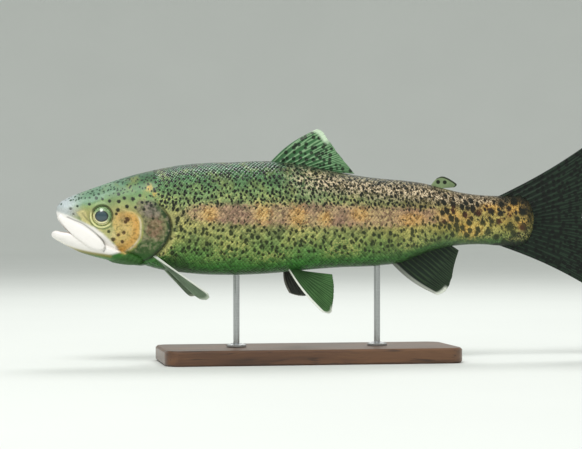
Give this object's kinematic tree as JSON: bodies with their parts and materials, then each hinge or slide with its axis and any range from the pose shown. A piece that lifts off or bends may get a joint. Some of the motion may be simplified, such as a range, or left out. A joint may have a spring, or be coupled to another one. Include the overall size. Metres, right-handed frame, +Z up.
{
  "type": "rainbow trout model",
  "caption": "Life-size rainbow trout with parted jaws and spread fins, held level over a flat rounded base by short steel rods.",
  "frame": {"origin": "on the floor under the middle of the model's bounding box", "axes": "+X from snout to tail, +Y towards the fish's right side, +Z up"},
  "size_m": [0.45, 0.0906, 0.1851],
  "materials": {
    "skin": "wet skin under scales, olive back over a pink band and a pale belly, with small dark spots",
    "jaw": "smooth wet skin, off-white",
    "gill_cover": "smooth wet skin over bone, rosy with a metallic glint",
    "fin": "ribbed membrane, olive grey with dark spots and pale leading edges",
    "eye": "clear and glossy over a dark pupil and a thin gold ring",
    "stand_wood": "satin varnished dark hardwood",
    "stand_steel": "brushed"
  },
  "bodies": {
    "root": {"head": "skin", "lower_jaw": "jaw", "maxilla_left": "jaw", "maxilla_right": "jaw", "gill_cover_left": "gill_cover", "gill_cover_right": "gill_cover", "eye_left": "eye", "eye_right": "eye", "trunk": "skin", "tail_stalk": "skin", "dorsal_fin": "fin", "adipose_fin": "fin", "anal_fin": "fin", "caudal_fin": "fin", "pectoral_fin_left": "fin", "pectoral_fin_right": "fin", "pelvic_fin_left": "fin", "pelvic_fin_right": "fin", "stand_base": "stand_wood", "stand_rod_front": "stand_steel", "stand_rod_rear": "stand_steel"}
  },
  "joints": []
}
